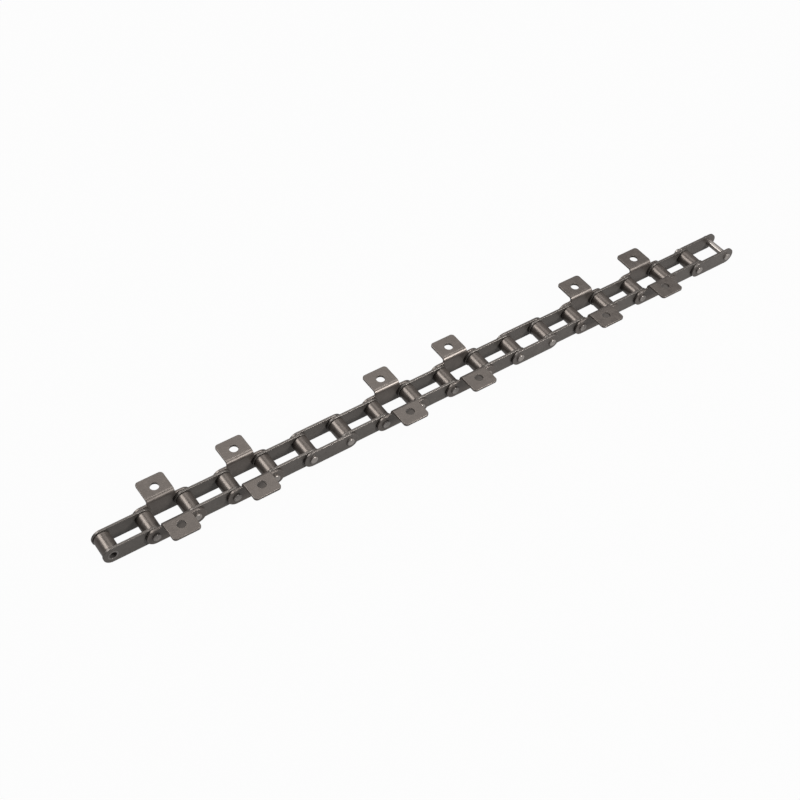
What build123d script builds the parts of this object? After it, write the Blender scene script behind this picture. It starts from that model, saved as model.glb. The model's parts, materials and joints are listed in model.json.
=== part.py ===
from build123d import *
import math
import os

# Conveyor chain: bushed roller chain with bent attachment tabs on its outer links.
# Millimetres. X runs along the chain, Y along the pins, Z up. The origin is on the pin axis of
# the open bush at the first end, midway between the side plates.

# Chain
PITCH = 41.4
INNER_LINKS = 9
LINKS_PER_PATTERN = 3
INSIDE_WIDTH = 19.81

# Side plates
PLATE_HEIGHT = 18.8
INNER_PLATE_THICKNESS = 2.6
OUTER_PLATE_THICKNESS = 2.6
PLATE_GAP = 0.3
PLATE_EDGE_RADIUS = 0.45

# Pins, bushes and rollers
PIN_DIAMETER = 7.19
PIN_CLEARANCE = 0.065
BUSH_WALL = 1.7
BUSH_STAND_OUT = 0.15
BUSH_MOUTH_CHAMFER = 0.25
ROLLER_DIAMETER = 16.87
ROLLER_CLEARANCE = 0.09
ROLLER_END_FLOAT = 0.2
ROLLER_EDGE_RADIUS = 0.8
RIVET_HEAD_DIAMETER = 8.0
RIVET_HEAD_HEIGHT = 1.8
RIVET_HEAD_RADIUS = 0.7

# Bent tabs
TAB_LENGTH = 28.4
TAB_WEB_HEIGHT = 1.2
TAB_OVERALL_WIDTH = 76.2
TAB_HOLE_SPACING = 50.8
TAB_HOLE_DIAMETER = 8.7
TAB_HOLE_EDGE_RADIUS = 0.3
TAB_CORNER_RADIUS = 3.6
TAB_BEND_RADIUS = 2.0
TAB_ROOT_RADIUS = 1.0

# Connecting link
LOOSE_PLATE_CLEARANCE = 0.05
PIN_TAIL_LENGTH = 4.8
PIN_TAIL_CHAMFER = 0.6
SPLIT_PIN_DIAMETER = 2.0
SPLIT_PIN_CLEARANCE = 0.12
SPLIT_PIN_SETBACK = 1.9
SPLIT_PIN_SLIT = 0.12
SPLIT_PIN_SHOULDER_GAP = 0.3
SPLIT_PIN_EYE_RADIUS = 1.5
SPLIT_PIN_NECK_RADIUS = 1.2
SPLIT_PIN_BEND_RADIUS = 2.6
SPLIT_PIN_SPREAD = 35.0
SPLIT_PIN_LEG_LENGTH = 3.0

# Places worked out from the sizes above
pin_radius = PIN_DIAMETER / 2
bush_bore_radius = pin_radius + PIN_CLEARANCE
bush_radius = bush_bore_radius + BUSH_WALL
roller_bore_radius = bush_radius + ROLLER_CLEARANCE
inner_plate_inside = INSIDE_WIDTH / 2
inner_plate_outside = inner_plate_inside + INNER_PLATE_THICKNESS
outer_plate_inside = inner_plate_outside + PLATE_GAP
outer_plate_outside = outer_plate_inside + OUTER_PLATE_THICKNESS
bush_half_length = inner_plate_outside + BUSH_STAND_OUT
roller_half_length = inner_plate_inside - ROLLER_END_FLOAT
bend_outer_radius = TAB_BEND_RADIUS + OUTER_PLATE_THICKNESS
bend_start = PLATE_HEIGHT / 2 + TAB_WEB_HEIGHT
tab_top = bend_start + bend_outer_radius
split_pin_hole_radius = SPLIT_PIN_DIAMETER / 2 + SPLIT_PIN_CLEARANCE
split_pin_place = outer_plate_outside + SPLIT_PIN_SETBACK

# The link's own plane: X along the link, Z up, seen with the far side behind it
SIDE_VIEW = Plane((0, 0, 0), x_dir=(1, 0, 0), z_dir=(0, -1, 0))


def across(radius, start, end):
    """A round bar along Y between two values of Y."""
    return Pos(0, (start + end) / 2, 0) * Rot(90, 0, 0) * Cylinder(radius, end - start)


def at_both_pins(piece):
    """Two copies of a piece, one at each pin axis of a link that starts at X = 0."""
    return [piece, Pos(PITCH, 0, 0) * piece]


def on_both_sides(plate):
    """The far side plate of a link and its mirror image on the near side."""
    return [plate, mirror(plate, about=Plane.XZ)]


def blank_plate(inside, thickness):
    """A straight sided plate with round ends on the far side, its edges still sharp."""
    outline = Pos(PITCH / 2, 0) * SlotCenterToCenter(PITCH, PLATE_HEIGHT)
    face = Pos(0, inside, 0) * (SIDE_VIEW * outline)
    return extrude(face, thickness, dir=(0, 1, 0))


def drilled_at_pins(plate, hole_radius):
    """A plate with a hole through it at each pin axis."""
    reach = TAB_OVERALL_WIDTH
    for hole in at_both_pins(across(hole_radius, -reach, reach)):
        plate -= hole
    return plate


def plain_plate(inside, thickness, hole_radius):
    """A side plate on the far side, with punched soft edges and a hole at each pin axis."""
    plate = blank_plate(inside, thickness)
    plate = fillet(plate.edges(), PLATE_EDGE_RADIUS)
    return drilled_at_pins(plate, hole_radius)


def bent_strip():
    """The web and tab of a tab plate: a strip bent outward through a right angle."""
    tip = TAB_OVERALL_WIDTH / 2
    underside = tab_top - OUTER_PLATE_THICKNESS
    bend_end = outer_plate_inside + bend_outer_radius
    outline = [
        Line((outer_plate_inside, 0), (outer_plate_inside, bend_start)),
        RadiusArc((outer_plate_inside, bend_start), (bend_end, tab_top), bend_outer_radius),
        Line((bend_end, tab_top), (tip, tab_top)),
        Line((tip, tab_top), (tip, underside)),
        Line((tip, underside), (bend_end, underside)),
        RadiusArc((bend_end, underside), (outer_plate_outside, bend_start), -TAB_BEND_RADIUS),
        Line((outer_plate_outside, bend_start), (outer_plate_outside, 0)),
        Line((outer_plate_outside, 0), (outer_plate_inside, 0)),
    ]
    strip_start = Plane(((PITCH - TAB_LENGTH) / 2, 0, 0), x_dir=(0, 1, 0), z_dir=(1, 0, 0))
    return extrude(strip_start * make_face(outline), TAB_LENGTH)


def tab_plate():
    """An outer plate on the far side whose upper edge rises and bends out into a bolting tab."""
    plate = blank_plate(outer_plate_inside, OUTER_PLATE_THICKNESS) + bent_strip()

    strip_sides = ((PITCH - TAB_LENGTH) / 2, (PITCH + TAB_LENGTH) / 2)
    roots = [
        edge
        for edge in plate.edges().filter_by(Axis.Y)
        if math.isclose(edge.center().Z, PLATE_HEIGHT / 2, abs_tol=0.01)
        and min(abs(edge.center().X - side) for side in strip_sides) < 0.01
    ]
    plate = fillet(roots, min(TAB_ROOT_RADIUS, 0.9 * TAB_WEB_HEIGHT))

    corners = plate.edges().filter_by(Axis.Z).group_by(Axis.Y)[-1]
    plate = fillet(corners, TAB_CORNER_RADIUS)
    plate = fillet(plate.edges(), PLATE_EDGE_RADIUS)
    plate = drilled_at_pins(plate, pin_radius)

    bolt_hole = Pos(PITCH / 2, TAB_HOLE_SPACING / 2, tab_top) * Cylinder(
        TAB_HOLE_DIAMETER / 2, 4 * OUTER_PLATE_THICKNESS
    )
    plate -= bolt_hole
    mouths = [
        edge
        for edge in plate.edges().filter_by(GeomType.CIRCLE)
        if math.isclose(edge.radius, TAB_HOLE_DIAMETER / 2, abs_tol=0.001)
        and math.isclose(edge.arc_center.Y, TAB_HOLE_SPACING / 2, abs_tol=0.01)
    ]
    return fillet(mouths, TAB_HOLE_EDGE_RADIUS)


def bush():
    """A plain bush, with a small chamfer at each mouth of its bore."""
    tube = across(bush_radius, -bush_half_length, bush_half_length)
    tube -= across(bush_bore_radius, -bush_half_length, bush_half_length)
    mouths = [
        edge
        for edge in tube.edges().filter_by(GeomType.CIRCLE)
        if math.isclose(edge.radius, bush_bore_radius, abs_tol=0.001)
    ]
    return chamfer(mouths, BUSH_MOUTH_CHAMFER)


def roller():
    """A roller with rounded outer edges, bored to run on its bush."""
    body = across(ROLLER_DIAMETER / 2, -roller_half_length, roller_half_length)
    rims = body.edges().filter_by(GeomType.CIRCLE)
    body = fillet(rims, ROLLER_EDGE_RADIUS)
    return body - across(roller_bore_radius, -roller_half_length, roller_half_length)


def rivet_head():
    """The peened end of a pin, seated on the outer face of the far plate."""
    top = outer_plate_outside + RIVET_HEAD_HEIGHT
    head = across(RIVET_HEAD_DIAMETER / 2, outer_plate_outside, top)
    rim = head.edges().filter_by(GeomType.CIRCLE).sort_by(Axis.Y)[-1]
    return fillet(rim, RIVET_HEAD_RADIUS)


def riveted_pin():
    """A pin with a peened head at each end."""
    shank = across(pin_radius, -outer_plate_outside, outer_plate_outside)
    for head in on_both_sides(rivet_head()):
        shank += head
    return shank


def connecting_pin():
    """A pin with a peened head on the near side and a cross drilled tail on the far side."""
    tail_end = outer_plate_outside + PIN_TAIL_LENGTH
    shank = across(pin_radius, -outer_plate_outside, tail_end)
    rim = shank.edges().filter_by(GeomType.CIRCLE).sort_by(Axis.Y)[-1]
    shank = chamfer(rim, PIN_TAIL_CHAMFER)
    cross_hole = Pos(0, split_pin_place, 0) * Rot(0, 90, 0) * Cylinder(split_pin_hole_radius, PIN_DIAMETER)
    return shank + mirror(rivet_head(), about=Plane.XZ) - cross_hole


def split_pin():
    """A split pin through the tail of a pin at X = 0: one half round wire bent back on itself."""
    half_slit = SPLIT_PIN_SLIT / 2
    spread = math.radians(SPLIT_PIN_SPREAD)

    neck_x = -(pin_radius + SPLIT_PIN_SHOULDER_GAP)
    centre_distance = SPLIT_PIN_EYE_RADIUS + SPLIT_PIN_NECK_RADIUS
    neck_rise = half_slit + SPLIT_PIN_NECK_RADIUS
    eye_x = neck_x - math.sqrt(centre_distance**2 - neck_rise**2)
    share = SPLIT_PIN_EYE_RADIUS / centre_distance
    joint_x = eye_x + (neck_x - eye_x) * share
    joint_z = neck_rise * share

    bend_x = pin_radius + SPLIT_PIN_SHOULDER_GAP
    leg_x = bend_x + SPLIT_PIN_BEND_RADIUS * math.sin(spread)
    leg_z = half_slit + SPLIT_PIN_BEND_RADIUS * (1 - math.cos(spread))
    tip_x = leg_x + SPLIT_PIN_LEG_LENGTH * math.cos(spread)
    tip_z = leg_z + SPLIT_PIN_LEG_LENGTH * math.sin(spread)

    def half(sign):
        """The path of one leg from its tip to where it joins the eye."""
        return [
            Line((tip_x, sign * tip_z), (leg_x, sign * leg_z)),
            RadiusArc((leg_x, sign * leg_z), (bend_x, sign * half_slit), sign * SPLIT_PIN_BEND_RADIUS),
            Line((bend_x, sign * half_slit), (neck_x, sign * half_slit)),
            RadiusArc((neck_x, sign * half_slit), (joint_x, sign * joint_z), sign * SPLIT_PIN_NECK_RADIUS),
        ]

    eye = ThreePointArc(
        (joint_x, joint_z), (eye_x - SPLIT_PIN_EYE_RADIUS, 0), (joint_x, -joint_z)
    )
    path = SIDE_VIEW * Wire(half(1) + [eye] + half(-1))
    wire_radius = SPLIT_PIN_DIAMETER / 2 - half_slit
    tip = path @ 0
    start = Plane(origin=tip, x_dir=(0, 1, 0), z_dir=path % 0)
    outward = 1 if start.y_dir.Z > 0 else -1
    disc = Circle(wire_radius) & Pos(0, outward * wire_radius) * Rectangle(2 * wire_radius, 2 * wire_radius)
    wire = sweep(start * disc, path)
    return Pos(0, split_pin_place, 0) * wire


def save(name, pieces, link_start=0):
    """Write one node, its pieces moved to where their link starts along the chain."""
    placed = [Pos(link_start, 0, 0) * piece for piece in pieces]
    solids = [solid for piece in placed for solid in piece.solids()]
    export_step(Compound(children=solids), f"parts/{name}.step")


def build():
    """Write every node of the chain."""
    os.makedirs("parts", exist_ok=True)
    inner_plates = on_both_sides(plain_plate(inner_plate_inside, INNER_PLATE_THICKNESS, bush_radius))
    outer_plates = on_both_sides(plain_plate(outer_plate_inside, OUTER_PLATE_THICKNESS, pin_radius))
    tab_plates = on_both_sides(tab_plate())
    bushes = at_both_pins(bush())
    pins = at_both_pins(riveted_pin())

    for number in range(1, INNER_LINKS + 1):
        inner_start = 2 * (number - 1) * PITCH
        save(f"inner_link_{number}_plates", inner_plates, inner_start)
        save(f"inner_link_{number}_bushes", bushes, inner_start)
        save(f"roller_{2 * number - 1:02d}", [roller()], inner_start)
        save(f"roller_{2 * number:02d}", [roller()], inner_start + PITCH)

        outer_start = inner_start + PITCH
        if number == INNER_LINKS:
            loose_hole = pin_radius + LOOSE_PLATE_CLEARANCE
            loose = plain_plate(outer_plate_inside, OUTER_PLATE_THICKNESS, loose_hole)
            save("connecting_link_fixed_plate", [outer_plates[1]], outer_start)
            save("connecting_link_loose_plate", [loose], outer_start)
            save("connecting_link_pins", at_both_pins(connecting_pin()), outer_start)
            save("connecting_link_split_pins", at_both_pins(split_pin()), outer_start)
        else:
            plain = number % LINKS_PER_PATTERN == 0
            name = "side_plates" if plain else "tab_plates"
            save(f"outer_link_{number}_{name}", outer_plates if plain else tab_plates, outer_start)
            save(f"outer_link_{number}_pins", pins, outer_start)


build()
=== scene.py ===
"""Looks of the conveyor chain: punched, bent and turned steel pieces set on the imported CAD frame."""

import json
import logging
import math
from collections.abc import Callable, Sequence
from dataclasses import dataclass
from enum import Enum
from typing import Any

import bmesh
import bpy
from mathutils import Matrix, Vector

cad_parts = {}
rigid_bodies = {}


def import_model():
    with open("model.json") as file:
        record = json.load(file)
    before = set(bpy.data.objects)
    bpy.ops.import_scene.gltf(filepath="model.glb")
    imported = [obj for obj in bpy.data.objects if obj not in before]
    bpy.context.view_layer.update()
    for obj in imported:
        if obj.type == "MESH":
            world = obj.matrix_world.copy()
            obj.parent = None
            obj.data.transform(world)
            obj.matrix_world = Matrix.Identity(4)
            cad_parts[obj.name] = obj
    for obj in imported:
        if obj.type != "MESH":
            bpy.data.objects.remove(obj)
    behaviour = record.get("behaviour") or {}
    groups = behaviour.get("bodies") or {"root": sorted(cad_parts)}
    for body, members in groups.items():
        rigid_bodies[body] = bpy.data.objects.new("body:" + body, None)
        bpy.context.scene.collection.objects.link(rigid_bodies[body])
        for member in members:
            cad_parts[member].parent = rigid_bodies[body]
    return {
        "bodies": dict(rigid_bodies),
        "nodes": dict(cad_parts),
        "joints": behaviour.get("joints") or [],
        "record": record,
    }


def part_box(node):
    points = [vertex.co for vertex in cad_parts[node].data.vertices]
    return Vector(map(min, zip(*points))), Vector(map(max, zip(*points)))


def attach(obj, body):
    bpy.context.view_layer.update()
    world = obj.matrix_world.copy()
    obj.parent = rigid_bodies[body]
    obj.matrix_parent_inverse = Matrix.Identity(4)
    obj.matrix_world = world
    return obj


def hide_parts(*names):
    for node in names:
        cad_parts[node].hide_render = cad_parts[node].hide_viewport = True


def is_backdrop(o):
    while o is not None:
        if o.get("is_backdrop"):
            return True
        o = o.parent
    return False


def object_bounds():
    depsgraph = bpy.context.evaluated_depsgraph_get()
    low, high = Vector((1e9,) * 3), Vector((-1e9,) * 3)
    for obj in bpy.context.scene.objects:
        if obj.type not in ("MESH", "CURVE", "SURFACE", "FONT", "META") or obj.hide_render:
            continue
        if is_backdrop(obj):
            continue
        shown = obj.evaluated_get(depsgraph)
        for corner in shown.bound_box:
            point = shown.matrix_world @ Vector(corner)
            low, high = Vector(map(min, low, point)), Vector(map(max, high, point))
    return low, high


LOG = logging.getLogger("conveyor_chain")
MM = 0.001
RIGHT_ANGLE = math.pi / 2
FULL_TURN = 2 * math.pi
TURNED_STEPS = 64
SMALL = 0.01 * MM
MERGE_DISTANCE = 0.002 * MM
SMOOTH_ANGLE = math.radians(35)
SHARP_ANGLE = math.radians(60)

Colour = tuple[float, float, float]
Turn = tuple[float, float, float]
Span = tuple[float, float]
Socket = bpy.types.NodeSocket
Test = Callable[[Vector, Vector], bool]

ACROSS_THE_CHAIN: Turn = (RIGHT_ANGLE, 0.0, 0.0)
ALONG_THE_CHAIN: Turn = (0.0, RIGHT_ANGLE, 0.0)
UPRIGHT: Turn = (0.0, 0.0, 0.0)
ORIGIN = Vector((0, 0, 0))
X_AXIS = Vector((1, 0, 0))
Y_AXIS = Vector((0, 1, 0))


class Side(Enum):
    """The side of the chain that a plate is on, named from the camera."""

    NEAR = "near"
    FAR = "far"


class Kind(Enum):
    """What an edit mode selection holds."""

    VERTEX = "VERT"
    EDGE = "EDGE"
    FACE = "FACE"


class Layer(Enum):
    """The two material slots of every piece."""

    FACE = 0
    WORN_EDGE = 1


def near(value: float, target: float, room: float = SMALL) -> bool:
    """Whether two values are the same to within a small room."""
    return abs(value - target) < room


def mostly(part: float) -> bool:
    """Whether one part of a unit direction makes up nearly all of it."""
    return abs(part) > 0.9


@dataclass(frozen=True)
class ChainSizes:
    """Sizes of the chain in metres, most of them read from the CAD frame."""

    pitch: float
    links: int
    plate_radius: float
    inner_inside: float
    inner_outside: float
    outer_inside: float
    outer_outside: float
    bush_radius: float
    bush_bore: float
    bush_end: float
    roller_radius: float
    roller_end: float
    pin_radius: float
    head_radius: float
    head_end: float
    tail_end: float
    tab_tip: float
    tab_top: float
    bolt_place: float
    bolt_radius: float
    tab_length: float = 28.4 * MM
    tab_bend: float = 2.0 * MM
    tab_root: float = 1.0 * MM
    tab_corner: float = 3.6 * MM
    plate_edge: float = 0.45 * MM
    bolt_edge: float = 0.3 * MM
    roller_play: float = 0.09 * MM
    loose_play: float = 0.05 * MM
    split_pin_radius: float = 1.0 * MM
    split_pin_play: float = 0.12 * MM
    split_pin_setback: float = 1.9 * MM

    @classmethod
    def from_frame(cls, frame: dict[str, Any]) -> "ChainSizes":
        """Read the sizes from the frame's nodes, joints and mounts.


        Returns:
            The sizes, in metres.
        """
        roller_end_float = 0.2 * MM
        pin_clearance = 0.065 * MM
        hinges = {joint["name"]: joint["pos_m"][0] for joint in frame["joints"]}
        mounts = {mount["name"]: mount["dims"] for mount in frame["record"]["mounts"]}
        inner_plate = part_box("inner_link_1_plates")[1]
        outer_inside, outer_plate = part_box("connecting_link_loose_plate")
        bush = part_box("inner_link_1_bushes")[1]
        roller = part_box("roller_01")[1]
        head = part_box("outer_link_3_pins")[1]
        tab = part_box("outer_link_1_tab_plates")[1]
        bore = mounts["end_bush_bore"]["r_mm"] * MM
        inner_links = [name for name in frame["bodies"] if name.startswith("inner_link_")]
        return cls(
            pitch=hinges["link_hinge_03"] - hinges["link_hinge_02"],
            links=len(inner_links),
            plate_radius=inner_plate.z,
            inner_inside=roller.y + roller_end_float,
            inner_outside=inner_plate.y,
            outer_inside=outer_inside.y,
            outer_outside=outer_plate.y,
            bush_radius=bush.z,
            bush_bore=bore,
            bush_end=bush.y,
            roller_radius=roller.z,
            roller_end=roller.y,
            pin_radius=bore - pin_clearance,
            head_radius=head.z,
            head_end=head.y,
            tail_end=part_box("connecting_link_pins")[1].y,
            tab_tip=tab.y,
            tab_top=tab.z,
            bolt_place=mounts["tab_holes_link_1"]["spacing_y_mm"] * MM / 2,
            bolt_radius=mounts["tab_holes_link_1"]["hole_r_mm"] * MM,
        )

    @property
    def plate_thickness(self) -> float:
        """The outer plates' thickness."""
        return self.outer_outside - self.outer_inside

    @property
    def bend_start(self) -> float:
        """The height at which a tab plate's web starts to bend."""
        return self.tab_top - self.tab_bend - self.plate_thickness


class Nodes:
    """A small hand for wiring a material's node tree."""

    def __init__(self, tree: bpy.types.NodeTree) -> None:
        """Start on an emptied tree."""
        self.tree = tree
        self.tree.nodes.clear()

    def add(self, kind: str, inputs: dict[Any, Any] | None = None, **settings: Any) -> bpy.types.Node:
        """Add a node, set its options and feed its inputs.

        Args:
            kind: The node's type name without its ShaderNode prefix.
            inputs: Values or sockets for its inputs, by name or number.
            **settings: Options of the node.

        Returns:
            The new node.
        """
        node = self.tree.nodes.new("ShaderNode" + kind)
        for option, value in settings.items():
            setattr(node, option, value)
        for key, value in (inputs or {}).items():
            if isinstance(value, Socket):
                self.tree.links.new(value, node.inputs[key])
            else:
                node.inputs[key].default_value = value
        return node

    def noise(self, place: Socket, scale: float, detail: float, roughness: float = 0.6) -> Socket:
        """A noise value that follows a place."""
        inputs = {"Vector": place, "Scale": scale, "Detail": detail, "Roughness": roughness}
        return self.add("TexNoise", inputs).outputs["Fac"]

    def span(self, value: Socket, source: Span, target: Span) -> Socket:
        """A value moved from one span to another and held inside it."""
        inputs = {"Value": value, 1: source[0], 2: source[1], 3: target[0], 4: target[1]}
        return self.add("MapRange", inputs, clamp=True).outputs["Result"]

    def calculate(self, operation: str, first: Any, second: Any) -> Socket:
        """The result of one sum on two values or sockets."""
        return self.add("Math", {0: first, 1: second}, operation=operation).outputs[0]

    def blend(self, share: Any, first: Any, second: Any) -> Socket:
        """A mix of two colours."""
        return self.add("Mix", {0: share, 6: first, 7: second}, data_type="RGBA").outputs[2]


def opaque(colour: Colour) -> tuple[float, float, float, float]:
    """A colour with full alpha."""
    return (*colour, 1.0)


@dataclass(frozen=True)
class SteelFinish:
    """Darkened steel: two mottled tones, fine grain, light scuffs and a sheen that varies."""

    name: str
    dark: Colour
    light: Colour
    scuff: Colour
    roughness: Span
    metallic: float = 0.6
    mottle_scale: float = 170.0
    grain_scale: float = 1500.0
    scratch_scale: float = 375.0
    grain_stretch: Turn = (1.0, 1.0, 1.0)
    grain_share: float = 0.3
    tone_span: Span = (0.38, 0.62)
    sheen_span: Span = (0.35, 0.65)
    scuff_span: Span = (0.66, 0.81)
    scuff_strength: float = 0.6
    bump: float = 0.03
    bump_depth: float = 0.03 * MM

    def material(self) -> bpy.types.Material:
        """Build the finish as a procedural material.

        Returns:
            The material.
        """
        material = bpy.data.materials.new(self.name)
        material.use_nodes = True
        nodes = Nodes(material.node_tree)
        place = nodes.add("TexCoord").outputs["Object"]
        stretched = nodes.add("Mapping", {"Vector": place, "Scale": self.grain_stretch}).outputs[0]
        mottle = nodes.noise(place, self.mottle_scale, 4.0)
        grain = nodes.noise(stretched, self.grain_scale, 4.0)
        scratches = nodes.noise(stretched, self.scratch_scale, 2.0)

        coarse = nodes.calculate("MULTIPLY", mottle, 1 - self.grain_share)
        fine = nodes.calculate("MULTIPLY", grain, self.grain_share)
        tone = nodes.span(nodes.calculate("ADD", coarse, fine), self.tone_span, (0.0, 1.0))
        steel = nodes.blend(tone, opaque(self.dark), opaque(self.light))
        scuffed = nodes.span(scratches, self.scuff_span, (0.0, self.scuff_strength))
        bump = nodes.add("Bump", {"Strength": self.bump, "Distance": self.bump_depth, "Height": grain})
        surface = nodes.add(
            "BsdfPrincipled",
            {
                "Base Color": nodes.blend(scuffed, steel, opaque(self.scuff)),
                "Roughness": nodes.span(mottle, self.sheen_span, self.roughness),
                "Metallic": self.metallic,
                "Normal": bump.outputs[0],
            },
        )
        nodes.add("OutputMaterial", {"Surface": surface.outputs[0]})
        return material


class Finish(Enum):
    """The finishes of the chain's pieces, named as the record's slots."""

    INNER_PLATE = "inner_plate_steel"
    OUTER_PLATE = "outer_plate_steel"
    TAB_PLATE = "tab_plate_steel"
    ROLLER = "roller_steel"
    BUSH = "bush_steel"
    PIN = "pin_steel"
    SPLIT_PIN = "split_pin_steel"


TURNED_GRAIN: Turn = (0.12, 1.0, 0.12)
WORN_SCUFF: Colour = (0.20, 0.185, 0.172)

STEELS = {
    Finish.INNER_PLATE: SteelFinish(
        "inner_plate_steel",
        dark=(0.097, 0.088, 0.080),
        light=(0.118, 0.107, 0.098),
        scuff=(0.17, 0.16, 0.15),
        roughness=(0.36, 0.44),
    ),
    Finish.OUTER_PLATE: SteelFinish(
        "outer_plate_steel",
        dark=(0.099, 0.089, 0.081),
        light=(0.122, 0.110, 0.101),
        scuff=(0.17, 0.16, 0.15),
        roughness=(0.34, 0.42),
    ),
    Finish.TAB_PLATE: SteelFinish(
        "tab_plate_steel",
        dark=(0.102, 0.089, 0.080),
        light=(0.126, 0.110, 0.099),
        scuff=(0.17, 0.155, 0.145),
        roughness=(0.34, 0.42),
    ),
    Finish.ROLLER: SteelFinish(
        "roller_steel",
        dark=(0.096, 0.083, 0.074),
        light=(0.120, 0.104, 0.093),
        scuff=(0.17, 0.155, 0.145),
        roughness=(0.30, 0.37),
        grain_stretch=TURNED_GRAIN,
    ),
    Finish.BUSH: SteelFinish(
        "bush_steel",
        dark=(0.150, 0.138, 0.130),
        light=(0.190, 0.176, 0.166),
        scuff=(0.26, 0.25, 0.24),
        roughness=(0.30, 0.38),
        grain_stretch=TURNED_GRAIN,
    ),
    Finish.PIN: SteelFinish(
        "pin_steel",
        dark=(0.240, 0.222, 0.206),
        light=(0.310, 0.286, 0.268),
        scuff=(0.36, 0.34, 0.32),
        roughness=(0.26, 0.34),
        grain_stretch=TURNED_GRAIN,
    ),
    Finish.SPLIT_PIN: SteelFinish(
        "split_pin_steel",
        dark=(0.22, 0.21, 0.20),
        light=(0.32, 0.31, 0.30),
        scuff=(0.45, 0.44, 0.43),
        roughness=(0.30, 0.40),
    ),
}


def worn(finish: SteelFinish) -> SteelFinish:
    """The finish of a piece's edges, rubbed lighter and smoother than its faces.

    Args:
        finish: The finish of the faces.

    Returns:
        The finish of the edges.
    """
    rubbed = 1.1
    smoother = 0.05
    return SteelFinish(
        finish.name + "_worn_edge",
        tuple(rubbed * part for part in finish.dark),
        tuple(rubbed * part for part in finish.light),
        WORN_SCUFF,
        (finish.roughness[0] - smoother, finish.roughness[1] - smoother),
        grain_stretch=finish.grain_stretch,
    )


@dataclass(frozen=True)
class Dressing:
    """The materials of one finish, in the order of a piece's slots."""

    face: bpy.types.Material
    worn_edge: bpy.types.Material

    @classmethod
    def of(cls, finish: SteelFinish) -> "Dressing":
        """Build the two materials of a finish."""
        return cls(finish.material(), worn(finish).material())

    def put_on(self, obj: bpy.types.Object) -> None:
        """Fill an object's material slots."""
        obj.data.materials.clear()
        for material in (self.face, self.worn_edge):
            obj.data.materials.append(material)


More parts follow.
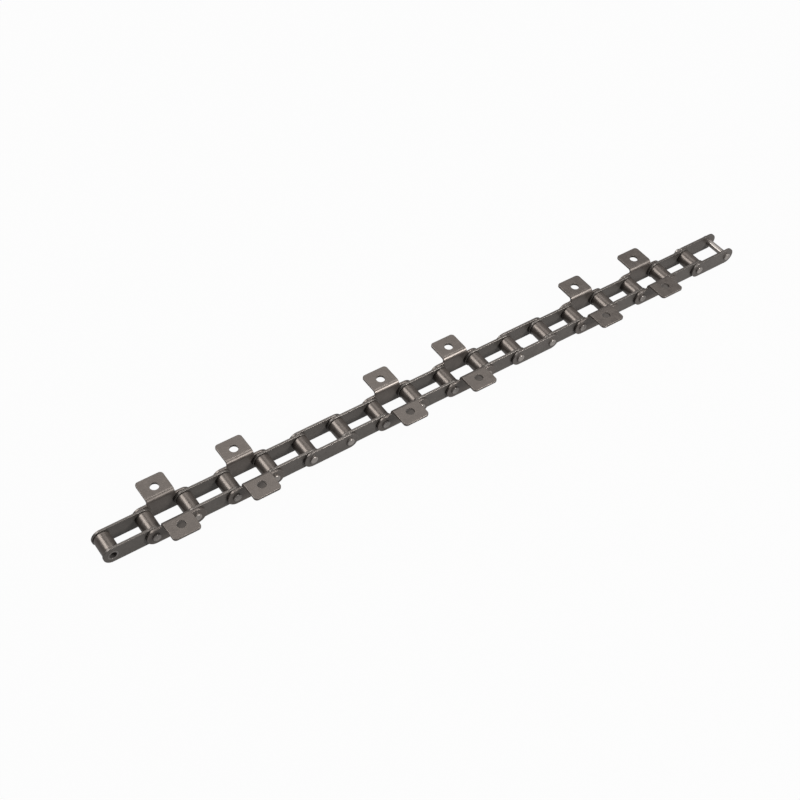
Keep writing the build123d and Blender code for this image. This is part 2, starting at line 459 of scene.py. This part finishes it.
class Bench:
    """One mesh on the bench, shaped with edit mode operators."""

    def __init__(self, dressing: Dressing) -> None:
        """Clear the selection, so that operators act on the new mesh alone.

        Args:
            dressing: The materials of the piece to be made.
        """
        self.dressing = dressing
        self.obj: bpy.types.Object | None = None
        bpy.ops.object.select_all(action="DESELECT")

    def start_circle(self, points: int, radius: float, turn: Turn, filled: bool = False) -> None:
        """Add a circle about the origin and open it for editing.

        Args:
            points: How many points it has.
            radius: The distance of its points from the middle.
            turn: Its rotation about X, Y and Z.
            filled: Whether it has a face.
        """
        fill = "NGON" if filled else "NOTHING"
        bpy.ops.mesh.primitive_circle_add(vertices=points, radius=radius, fill_type=fill, rotation=turn)
        self.obj = bpy.context.object
        self.dressing.put_on(self.obj)
        bpy.ops.object.transform_apply(location=True, rotation=True, scale=True)
        bpy.ops.object.mode_set(mode="EDIT")

    def select_all(self) -> None:
        """Select the whole mesh."""
        bpy.ops.mesh.select_all(action="SELECT")

    def select(self, kind: Kind, test: Test) -> int:
        """Select the parts whose middle and direction pass a test.

        Args:
            kind: Vertices, edges or faces.
            test: Takes a part's middle and its direction, a normal or an edge's run.

        Returns:
            How many were selected.
        """
        bpy.ops.mesh.select_mode(type=kind.value)
        bpy.ops.mesh.select_all(action="DESELECT")
        mesh = bmesh.from_edit_mesh(self.obj.data)
        mesh.normal_update()
        chosen = [item for item, middle, direction in self._parts(mesh, kind) if test(middle, direction)]
        for item in chosen:
            item.select_set(True)
        mesh.select_flush_mode()
        bmesh.update_edit_mesh(self.obj.data)
        return len(chosen)

    @staticmethod
    def _parts(mesh: bmesh.types.BMesh, kind: Kind) -> list[tuple[Any, Vector, Vector]]:
        """Each part of a kind with its middle and its direction."""
        if kind is Kind.VERTEX:
            return [(vertex, vertex.co, vertex.normal) for vertex in mesh.verts]
        if kind is Kind.FACE:
            return [(face, face.calc_center_median(), face.normal) for face in mesh.faces]
        ends = [(edge, edge.verts[0].co, edge.verts[1].co) for edge in mesh.edges]
        return [(edge, (start + end) / 2, (end - start).normalized()) for edge, start, end in ends]

    def move(self, step: Vector) -> None:
        """Move what is selected."""
        bpy.ops.transform.translate(value=step)

    def extrude(self, step: Vector) -> None:
        """Extrude what is selected along a step."""
        bpy.ops.mesh.extrude_region_move(TRANSFORM_OT_translate={"value": step})

    def cut(self, at: Vector, normal: Vector, drop_below: bool = False) -> None:
        """Cut the whole mesh along a plane and, if asked, drop what lies below the plane."""
        self.select_all()
        bpy.ops.mesh.bisect(plane_co=at, plane_no=normal, clear_inner=drop_below)

    def round_off(
        self, radius: float, segments: int, layer: Layer = Layer.FACE, corners: bool = False
    ) -> None:
        """Round the selected edges, or the selected corners of a flat section."""
        affect = "VERTICES" if corners else "EDGES"
        bpy.ops.mesh.bevel(
            offset=radius, segments=segments, affect=affect, material=layer.value, clamp_overlap=False
        )

    def spin(self, angle: float, steps: int, centre: Vector, axis: Vector) -> None:
        """Spin what is selected about an axis, right handed: the operator itself turns the other way."""
        bpy.ops.mesh.spin(steps=steps, angle=-angle, center=centre, axis=axis)

    def tidy(self) -> None:
        """Merge doubles and point all faces outwards."""
        bpy.ops.mesh.select_mode(type="VERT")
        self.select_all()
        bpy.ops.mesh.remove_doubles(threshold=MERGE_DISTANCE)
        bpy.ops.mesh.normals_make_consistent(inside=False)

    def drill(self, radius: float, length: float, at: Vector, turn: Turn) -> None:
        """Cut a round hole through the piece and go back to editing it.

        Args:
            radius: The hole's radius.
            length: The drill's length.
            at: The drill's middle.
            turn: The drill's rotation from upright.
        """
        self.tidy()
        bpy.ops.object.mode_set(mode="OBJECT")
        bpy.ops.object.select_all(action="DESELECT")
        bpy.ops.mesh.primitive_cylinder_add(
            vertices=TURNED_STEPS, radius=radius, depth=length, location=at, rotation=turn
        )
        drill = bpy.context.object
        hole = self.obj.modifiers.new("hole", "BOOLEAN")
        hole.operation = "DIFFERENCE"
        hole.solver = "EXACT"
        hole.object = drill
        self._apply(hole)
        bpy.data.objects.remove(drill)
        bpy.ops.object.mode_set(mode="EDIT")

    def mirror(self, axis: str) -> None:
        """Add the mesh's own mirror image, joined where it meets the mirror plane."""
        bpy.ops.object.mode_set(mode="OBJECT")
        image = self.obj.modifiers.new("mirror", "MIRROR")
        image.use_axis = [letter == axis for letter in "XYZ"]
        image.merge_threshold = MERGE_DISTANCE
        self._apply(image)
        bpy.ops.object.mode_set(mode="EDIT")

    def _apply(self, modifier: bpy.types.Modifier) -> None:
        """Apply a modifier to the piece."""
        bpy.ops.object.select_all(action="DESELECT")
        bpy.context.view_layer.objects.active = self.obj
        self.obj.select_set(True)
        bpy.ops.object.modifier_apply(modifier=modifier.name)

    def close(self, name: str) -> bpy.types.Object:
        """Leave edit mode, shade the flats flat and the rounds smooth, and name the pattern.

        Args:
            name: The pattern's name.

        Returns:
            The pattern object.
        """
        self.tidy()
        bpy.ops.object.mode_set(mode="OBJECT")
        self.obj.name = name
        bpy.ops.object.shade_smooth_by_angle(angle=SMOOTH_ANGLE)
        weighted = self.obj.modifiers.new("weighted", "WEIGHTED_NORMAL")
        weighted.keep_sharp = True
        self._apply(weighted)
        return self.obj


def other_side(pattern: bpy.types.Object, dressing: Dressing) -> bpy.types.Object:
    """The mirror image of a pattern on the other side of the chain.

    Args:
        pattern: The far side's pattern.
        dressing: The materials of both.

    Returns:
        The near side's pattern.
    """
    bench = Bench(dressing)
    bench.obj = pattern.copy()
    bench.obj.data = pattern.data.copy()
    bpy.context.collection.objects.link(bench.obj)
    bpy.context.view_layer.objects.active = bench.obj
    bench.obj.select_set(True)
    bench.obj.data.transform(Matrix.Scale(-1, 4, Y_AXIS))
    bpy.ops.object.mode_set(mode="EDIT")
    return bench.close(pattern.name + "_mirrored")


@dataclass(frozen=True)
class PlatePattern:
    """The punched side plates, each modelled on the far side of a link whose first pin is at X = 0."""

    sizes: ChainSizes
    dressing: Dressing
    outline_points: int = TURNED_STEPS
    bend_steps: int = 10
    corner_segments: int = 8
    root_segments: int = 4
    edge_segments: int = 3
    rim_segments: int = 2

    def plain(self, name: str, inside: float, outside: float, hole: float) -> bpy.types.Object:
        """A straight sided plate with round ends and two holes.

        Args:
            name: The pattern's name.
            inside: Y of its inner face.
            outside: Y of its outer face.
            hole: Radius of its holes.

        Returns:
            The pattern object.
        """
        bench = self._outline(inside)
        bench.select_all()
        bench.extrude(Vector((0, outside - inside, 0)))
        self._soften(bench)
        self._pin_holes(bench, (inside + outside) / 2, hole)
        return bench.close(name)

    def tabbed(self, name: str) -> bpy.types.Object:
        """An outer plate whose web rises and bends out into a tab with a bolt hole.

        Args:
            name: The pattern's name.

        Returns:
            The pattern object.
        """
        s = self.sizes
        middle = s.pitch / 2
        web_sides = (middle - s.tab_length / 2, middle + s.tab_length / 2)
        bench = self._outline(s.outer_inside)
        for side in web_sides:
            bench.cut(Vector((side, 0, 0)), X_AXIS)
        bench.select(Kind.EDGE, lambda at, run: near(at.z, s.plate_radius) and near(at.x, middle))
        bench.extrude(Vector((0, 0, s.bend_start - s.plate_radius)))
        bench.select_all()
        bench.extrude(Vector((0, s.plate_thickness, 0)))
        bench.tidy()

        bench.select(Kind.FACE, lambda at, out: near(at.z, s.bend_start) and mostly(out.z))
        pivot = Vector((middle, s.outer_outside + s.tab_bend, s.bend_start))
        bench.spin(-RIGHT_ANGLE, self.bend_steps, pivot, X_AXIS)
        bench.extrude(Vector((0, s.tab_tip - pivot.y, 0)))
        bench.tidy()

        bench.select(Kind.EDGE, lambda at, run: near(at.y, s.tab_tip) and mostly(run.z))
        bench.round_off(s.tab_corner, self.corner_segments)
        bench.select(
            Kind.EDGE,
            lambda at, run: mostly(run.y)
            and near(at.z, s.plate_radius)
            and any(near(at.x, side) for side in web_sides),
        )
        bench.round_off(s.tab_root, self.root_segments)
        self._soften(bench)
        self._pin_holes(bench, (s.outer_inside + s.outer_outside) / 2, s.pin_radius)
        self._bolt_hole(bench, Vector((middle, s.bolt_place, s.tab_top)))
        return bench.close(name)

    def _outline(self, inside: float) -> Bench:
        """Start a plate as one flat face: a circle whose right half is moved out by the pitch."""
        half_step = FULL_TURN / self.outline_points / 2
        bench = Bench(self.dressing)
        radius = self.sizes.plate_radius / math.cos(half_step)
        bench.start_circle(self.outline_points, radius, (RIGHT_ANGLE, half_step, 0))
        bench.select_all()
        bench.move(Vector((0, inside, 0)))
        bench.select(Kind.VERTEX, lambda at, out: at.x > 0)
        bench.move(Vector((self.sizes.pitch, 0, 0)))
        bench.select_all()
        bpy.ops.mesh.edge_face_add()
        return bench

    def _soften(self, bench: Bench) -> None:
        """Round the punched edges of the sheet."""
        bench.tidy()
        bpy.ops.mesh.select_mode(type="EDGE")
        bpy.ops.mesh.select_all(action="DESELECT")
        bpy.ops.mesh.edges_select_sharp(sharpness=SHARP_ANGLE)
        bench.round_off(self.sizes.plate_edge, self.edge_segments, Layer.WORN_EDGE)

    def _pin_holes(self, bench: Bench, across: float, radius: float) -> None:
        """Drill the plate at both pins."""
        length = 3 * self.sizes.plate_thickness
        for along in (0.0, self.sizes.pitch):
            bench.drill(radius, length, Vector((along, across, 0)), ACROSS_THE_CHAIN)

    def _bolt_hole(self, bench: Bench, at: Vector) -> None:
        """Drill the tab and soften the rims of its hole."""
        s = self.sizes
        bench.drill(s.bolt_radius, 3 * s.plate_thickness, at, UPRIGHT)
        rim = s.bolt_radius + SMALL
        level = 0.1
        bench.select(
            Kind.EDGE,
            lambda mid, run: math.hypot(mid.x - at.x, mid.y - at.y) < rim and near(run.z, 0, level),
        )
        bench.round_off(s.bolt_edge, self.rim_segments, Layer.WORN_EDGE)


@dataclass(frozen=True)
class Corner:
    """A point of a turned section: its distance from the axis, its place along Y and its rounding."""

    radius: float
    along: float
    rounding: float = 0.0

    def mirrored(self) -> "Corner":
        """The same corner at the other end of the piece."""
        return Corner(self.radius, -self.along, self.rounding)


@dataclass(frozen=True)
class TurnedPattern:
    """The turned pieces about the Y axis: rollers, bushes and pins, each a spun section."""

    sizes: ChainSizes
    dressing: Dressing
    rounding_segments: int = 4

    def roller(self) -> bpy.types.Object:
        """A roller with rounded rims and end faces set back a little inside them."""
        s = self.sizes
        bore = s.bush_radius + s.roller_play
        land = 1.1 * MM
        setback = 0.12 * MM
        rim = 0.8 * MM
        mouth = 0.2 * MM
        end = [
            Corner(bore, s.roller_end - setback, mouth),
            Corner(s.roller_radius - rim - land, s.roller_end - setback),
            Corner(s.roller_radius - rim - land + setback, s.roller_end),
            Corner(s.roller_radius, s.roller_end, rim),
        ]
        return self._turn(self._both_ends(end)).close("pattern_roller")

    def bush(self) -> bpy.types.Object:
        """A bush with soft outer edges and chamfered mouths."""
        s = self.sizes
        mouth = 0.25 * MM
        rim = 0.12 * MM
        end = [Corner(s.bush_bore, s.bush_end, mouth), Corner(s.bush_radius, s.bush_end, rim)]
        return self._turn(self._both_ends(end)).close("pattern_bush")

    def riveted_pin(self) -> bpy.types.Object:
        """A pin with a peened head at each end."""
        return self._turn(self._both_ends(self._head())).close("pattern_riveted_pin")

    def connecting_pin(self) -> bpy.types.Object:
        """A pin with a peened head on the near side and a cross drilled tail on the far side."""
        s = self.sizes
        rim = 0.6 * MM
        tail = [Corner(0, s.tail_end), Corner(s.pin_radius, s.tail_end, rim)]
        head = [corner.mirrored() for corner in reversed(self._head())]
        bench = self._turn(tail + head)
        place = Vector((0, s.outer_outside + s.split_pin_setback, 0))
        bench.drill(s.split_pin_radius + s.split_pin_play, 4 * s.pin_radius, place, ALONG_THE_CHAIN)
        return bench.close("pattern_connecting_pin")

    def _head(self) -> list[Corner]:
        """The peened head on the far side, from its dimpled middle to the pin's shank."""
        s = self.sizes
        dimple = 0.3 * MM
        dimple_radius = 0.34 * s.head_radius
        crown_radius = 0.5 * s.head_radius
        crown = 0.35 * MM
        rim = 0.7 * MM
        return [
            Corner(0, s.head_end - dimple),
            Corner(dimple_radius, s.head_end - dimple, dimple),
            Corner(crown_radius, s.head_end, crown),
            Corner(s.head_radius, s.head_end, rim),
            Corner(s.head_radius, s.outer_outside),
            Corner(s.pin_radius, s.outer_outside),
        ]

    @staticmethod
    def _both_ends(end: Sequence[Corner]) -> list[Corner]:
        """A closed section from one end's corners and their mirror image."""
        return [*end, *(corner.mirrored() for corner in reversed(end))]

    def _turn(self, section: Sequence[Corner]) -> Bench:
        """Lay out a closed section, round its corners and spin it about the Y axis.

        Args:
            section: The section's corners in order.

        Returns:
            The bench, still in edit mode.
        """
        bench = Bench(self.dressing)
        bench.start_circle(len(section), 1 * MM, UPRIGHT)
        mesh = bmesh.from_edit_mesh(bench.obj.data)
        for vertex, corner in zip(mesh.verts, section):
            vertex.co = (corner.radius, corner.along, 0)
        bmesh.update_edit_mesh(bench.obj.data)
        if bench.select(Kind.EDGE, lambda at, run: near(at.x, 0)):
            bpy.ops.mesh.delete(type="EDGE")
        for corner in section:
            if corner.rounding:
                spot = Vector((corner.radius, corner.along, 0))
                bench.select(Kind.VERTEX, lambda at, out: (at - spot).length < SMALL)
                bench.round_off(corner.rounding, self.rounding_segments, corners=True)
        bench.select_all()
        bench.spin(FULL_TURN, TURNED_STEPS, ORIGIN, Y_AXIS)
        bench.tidy()
        return bench


@dataclass(frozen=True)
class SplitPinPattern:
    """A split pin: half round wire bent back on itself through an eye, with its legs spread."""

    sizes: ChainSizes
    dressing: Dressing
    slit: float = 0.12 * MM
    shoulder: float = 0.3 * MM
    eye: float = 1.5 * MM
    neck: float = 1.2 * MM
    bend: float = 2.6 * MM
    leg: float = 3.0 * MM
    spread: float = math.radians(35)
    wire_points: int = 20
    neck_steps: int = 6
    eye_steps: int = 14
    leg_steps: int = 5

    def model(self) -> bpy.types.Object:
        """Bend the upper half from the middle outwards, both ways, and mirror it.

        Returns:
            The pattern object, across a pin at X = 0.
        """
        s = self.sizes
        half_slit = self.slit / 2
        across = s.outer_outside + s.split_pin_setback
        shoulder = s.pin_radius + self.shoulder
        neck_height = half_slit + self.neck
        neck_turn = math.acos(neck_height / (self.eye + self.neck))
        eye_centre = -shoulder - (self.eye + self.neck) * math.sin(neck_turn)

        bench = self._half_wire(Vector((0, across, half_slit)), s.split_pin_radius - half_slit)
        bench.extrude(Vector((-shoulder, 0, 0)))
        bench.spin(neck_turn, self.neck_steps, Vector((-shoulder, across, neck_height)), Y_AXIS)
        bench.spin(-RIGHT_ANGLE - neck_turn, self.eye_steps, Vector((eye_centre, across, 0)), Y_AXIS)
        bpy.ops.mesh.delete(type="ONLY_FACE")

        bench.select(Kind.FACE, lambda at, out: near(at.x, 0) and mostly(out.x))
        bench.extrude(Vector((shoulder, 0, 0)))
        leg_centre = Vector((shoulder, across, half_slit + self.bend))
        bench.spin(-self.spread, self.leg_steps, leg_centre, Y_AXIS)
        bench.extrude(self.leg * Vector((math.cos(self.spread), 0, math.sin(self.spread))))
        bench.mirror("Z")
        return bench.close("pattern_split_pin")

    def _half_wire(self, at: Vector, radius: float) -> Bench:
        """Start with the half round face of the wire, flat side down, with its flat's middle at a place."""
        bench = Bench(self.dressing)
        bench.start_circle(self.wire_points, radius, ALONG_THE_CHAIN, filled=True)
        bench.cut(ORIGIN, Vector((0, 0, 1)), drop_below=True)
        bench.select_all()
        bench.move(at)
        return bench


class ConveyorChain:
    """The chain: patterns of each piece, copied to every place and dressed."""

    def __init__(self, sizes: ChainSizes, record: dict[str, Any]) -> None:
        """Keep the sizes and work out which body each node is on.

        Args:
            sizes: The chain's sizes.
            record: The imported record.
        """
        self.sizes = sizes
        self.dressings = {finish: Dressing.of(steel) for finish, steel in STEELS.items()}
        bodies = record["behaviour"]["bodies"]
        self.body_of = {node: body for body, nodes in bodies.items() for node in nodes}
        self.patterns: list[bpy.types.Object] = []
        self.count = 0

    def build(self) -> None:
        """Model each pattern once, copy it to its places and clear the patterns away."""
        self._inner_links()
        self._rollers()
        self._outer_links()
        self._connecting_link()
        for pattern in self.patterns:
            bpy.data.objects.remove(pattern)
        LOG.info("%d pieces in all", self.count)

    def _both_sides(self, finish: Finish, pattern: bpy.types.Object) -> dict[Side, bpy.types.Object]:
        """A plate's pattern for each side of the chain."""
        sides = {Side.FAR: pattern, Side.NEAR: other_side(pattern, self.dressings[finish])}
        self.patterns.extend(sides.values())
        return sides

    def _keep(self, pattern: bpy.types.Object) -> bpy.types.Object:
        """Note a pattern, so that it is cleared away at the end."""
        self.patterns.append(pattern)
        return pattern

    def _inner_links(self) -> None:
        """Two plates pressed on two bushes, for every second link."""
        s = self.sizes
        plates = PlatePattern(s, self.dressings[Finish.INNER_PLATE])
        plate = plates.plain("pattern_inner_plate", s.inner_inside, s.inner_outside, s.bush_radius)
        sides = self._both_sides(Finish.INNER_PLATE, plate)
        bush = self._keep(TurnedPattern(s, self.dressings[Finish.BUSH]).bush())
        for number in range(1, s.links + 1):
            link = f"inner_link_{number}"
            start = 2 * (number - 1) * s.pitch
            for side, pattern in sides.items():
                name = f"{link}_{side.value}_plate"
                self._set(pattern, name, f"{link}_plates", start)
            self._set_pair(bush, link, "bush", f"{link}_bushes", start)

    def _rollers(self) -> None:
        """A free roller on every bush."""
        roller = self._keep(TurnedPattern(self.sizes, self.dressings[Finish.ROLLER]).roller())
        for number in range(1, 2 * self.sizes.links + 1):
            node = f"roller_{number:02d}"
            self._set(roller, f"turned_{node}", node, (number - 1) * self.sizes.pitch)

    def _outer_links(self) -> None:
        """Two plates riveted on two pins between the inner links, most of them with tabs."""
        s = self.sizes
        tab_plate = PlatePattern(s, self.dressings[Finish.TAB_PLATE]).tabbed("pattern_tab_plate")
        tabs = self._both_sides(Finish.TAB_PLATE, tab_plate)
        plates = PlatePattern(s, self.dressings[Finish.OUTER_PLATE])
        plate = plates.plain("pattern_outer_plate", s.outer_inside, s.outer_outside, s.pin_radius)
        plains = self._both_sides(Finish.OUTER_PLATE, plate)
        pin = self._keep(TurnedPattern(s, self.dressings[Finish.PIN]).riveted_pin())
        for number in range(1, s.links):
            link = f"outer_link_{number}"
            start = (2 * number - 1) * s.pitch
            tabbed = f"{link}_tab_plates" in self.body_of
            node = f"{link}_tab_plates" if tabbed else f"{link}_side_plates"
            for side, pattern in (tabs if tabbed else plains).items():
                self._set(pattern, f"{link}_{side.value}_plate", node, start)
            self._set_pair(pin, link, "pin", f"{link}_pins", start)

    def _connecting_link(self) -> None:
        """The link that joins the chain into a loop, held by split pins on its far side."""
        s = self.sizes
        link = "connecting_link"
        start = (2 * s.links - 1) * s.pitch
        plates = PlatePattern(s, self.dressings[Finish.OUTER_PLATE])
        plate = plates.plain("pattern_fixed_plate", s.outer_inside, s.outer_outside, s.pin_radius)
        fixed = self._both_sides(Finish.OUTER_PLATE, plate)
        loose_hole = s.pin_radius + s.loose_play
        loose = self._keep(plates.plain("pattern_loose_plate", s.outer_inside, s.outer_outside, loose_hole))
        pin = self._keep(TurnedPattern(s, self.dressings[Finish.PIN]).connecting_pin())
        split_pin = self._keep(SplitPinPattern(s, self.dressings[Finish.SPLIT_PIN]).model())
        self._set(fixed[Side.NEAR], f"{link}_near_plate", f"{link}_fixed_plate", start)
        self._set(loose, f"{link}_far_plate", f"{link}_loose_plate", start)
        self._set_pair(pin, link, "pin", f"{link}_pins", start)
        self._set_pair(split_pin, link, "split_pin", f"{link}_split_pins", start)

    def _set_pair(
        self, pattern: bpy.types.Object, link: str, piece: str, node: str, start: float
    ) -> None:
        """Set a copy of a pattern at each pin of a link."""
        self._set(pattern, f"{link}_first_{piece}", node, start)
        self._set(pattern, f"{link}_second_{piece}", node, start + self.sizes.pitch)

    def _set(self, pattern: bpy.types.Object, name: str, node: str, along: float) -> None:
        """Set one copy of a pattern in the chain in place of its CAD node.

        Args:
            pattern: What is copied.
            name: The piece's name.
            node: The CAD node that it stands for.
            along: How far along the chain it goes.
        """
        piece = pattern.copy()
        piece.data = pattern.data.copy()
        piece.name = name
        piece.data.name = name
        piece.data.transform(Matrix.Translation((along, 0, 0)))
        bpy.context.collection.objects.link(piece)
        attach(piece, self.body_of[node])
        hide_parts(node)
        self.count += 1
        LOG.info("%s stands for %s", name, node)


@dataclass(frozen=True)
class SoftBox:
    """A soft studio lamp aimed at the middle of the chain."""

    name: str
    direction: tuple[float, float, float]
    distance: float
    size: float
    watts: float
    colour: Colour = (1.0, 0.985, 0.965)

    def hang(self, target: Vector) -> None:
        """Hang the lamp.

        Args:
            target: What it is aimed at.
        """
        lamp = bpy.data.lights.new(self.name, "AREA")
        lamp.shape = "DISK"
        lamp.size = self.size
        lamp.energy = self.watts
        lamp.color = self.colour
        obj = bpy.data.objects.new(self.name, lamp)
        way = Vector(self.direction).normalized()
        obj.location = target + self.distance * way
        obj.rotation_euler = way.to_track_quat("Z", "Y").to_euler()
        bpy.context.collection.objects.link(obj)


@dataclass(frozen=True)
class Studio:
    """The pale floor, the surroundings, the lamps and the camera."""

    floor_height: float
    middle: Vector
    lamps: tuple[SoftBox, ...] = (
        SoftBox("back_left_lamp", (-0.5, 0.5, 0.7), distance=2.2, size=1.1, watts=26.0),
        SoftBox("front_right_lamp", (0.41, -0.74, 0.53), distance=2.2, size=0.7, watts=56.0),
        SoftBox("back_right_lamp", (0.27, 0.57, 0.78), distance=2.4, size=1.4, watts=7.5),
        SoftBox("overhead_lamp", (0.25, 0.05, 0.97), distance=2.4, size=0.9, watts=20.0),
    )
    floor_width: float = 60.0
    floor_colour: Colour = (0.18, 0.18, 0.18)
    glow_seen: float = 0.97
    glow_mirrored: float = 0.45
    surroundings: Colour = (0.23, 0.23, 0.24)
    camera_place: tuple[float, float, float] = (-0.23195, -0.71153, 0.99506)
    azimuth: float = math.radians(37.634)
    elevation: float = math.radians(47.805)
    roll: float = math.radians(3.807)
    lens: float = 61.479
    sensor_width: float = 36.0
    view_range: Span = (0.01, 100.0)

    def set_up(self) -> None:
        """Make the floor, the surroundings, the lamps and the camera."""
        self._floor()
        self._world()
        for lamp in self.lamps:
            lamp.hang(self.middle)
        self._camera()
        bpy.context.scene.view_settings.view_transform = "Standard"

    def _glow_share(self, nodes: Nodes) -> Socket:
        """How much of the floor glows: most of it for the camera, a part in mirrored and clear rays."""
        path = nodes.add("LightPath").outputs
        mirrored = nodes.calculate("MAXIMUM", path["Is Glossy Ray"], path["Is Transmission Ray"])
        seen = nodes.calculate("MULTIPLY", path["Is Camera Ray"], self.glow_seen)
        return nodes.calculate("ADD", seen, nodes.calculate("MULTIPLY", mirrored, self.glow_mirrored))

    def _floor(self) -> None:
        """A floor that looks white, with a dull grey share that keeps a faint shadow."""
        bpy.ops.object.select_all(action="DESELECT")
        place = (self.middle.x, self.middle.y, self.floor_height)
        bpy.ops.mesh.primitive_plane_add(size=self.floor_width, location=place)
        floor = bpy.context.object
        floor.name = "studio_floor"
        material = bpy.data.materials.new("white_floor")
        material.use_nodes = True
        nodes = Nodes(material.node_tree)
        matt = nodes.add("BsdfDiffuse", {"Color": opaque(self.floor_colour)}).outputs[0]
        glow = nodes.add("Emission", {"Color": opaque((1.0, 1.0, 1.0)), "Strength": 1.0}).outputs[0]
        mixed = nodes.add("MixShader", {0: self._glow_share(nodes), 1: matt, 2: glow})
        nodes.add("OutputMaterial", {"Surface": mixed.outputs[0]})
        floor.data.materials.append(material)
        floor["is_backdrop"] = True

    def _world(self) -> None:
        """Grey surroundings that look white to the camera."""
        world = bpy.data.worlds.new("studio_surroundings")
        world.use_nodes = True
        nodes = Nodes(world.node_tree)
        direct = nodes.add("LightPath").outputs["Is Camera Ray"]
        colour = nodes.blend(direct, opaque(self.surroundings), opaque((1.0, 1.0, 1.0)))
        sky = nodes.add("Background", {"Color": colour, "Strength": 1.0})
        nodes.add("OutputWorld", {"Surface": sky.outputs[0]})
        bpy.context.scene.world = world

    def _camera(self) -> None:
        """The camera at the photograph's place, turn and lens."""
        flat = math.cos(self.elevation)
        forward = Vector(
            (math.sin(self.azimuth) * flat, math.cos(self.azimuth) * flat, -math.sin(self.elevation))
        )
        right = Vector((math.cos(self.azimuth), -math.sin(self.azimuth), 0))
        up = right.cross(forward)
        leaning_right = right * math.cos(self.roll) + up * math.sin(self.roll)
        leaning_up = up * math.cos(self.roll) - right * math.sin(self.roll)
        turn = Matrix((leaning_right, leaning_up, -forward)).transposed().to_4x4()
        data = bpy.data.cameras.new("photograph_camera")
        data.sensor_width = self.sensor_width
        data.lens = self.lens
        data.clip_start, data.clip_end = self.view_range
        camera = bpy.data.objects.new("photograph_camera", data)
        camera.matrix_world = Matrix.Translation(self.camera_place) @ turn
        bpy.context.collection.objects.link(camera)
        bpy.context.scene.camera = camera


def main() -> None:
    """Build the chain's pieces on the frame and set the studio."""
    logging.basicConfig(level=logging.INFO, format="%(message)s")
    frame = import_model()
    cad_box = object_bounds()
    sizes = ChainSizes.from_frame(frame)
    ConveyorChain(sizes, frame["record"]).build()
    low, high = cad_box
    Studio(low.z, (low + high) / 2).set_up()


if __name__ == "__main__":
    main()
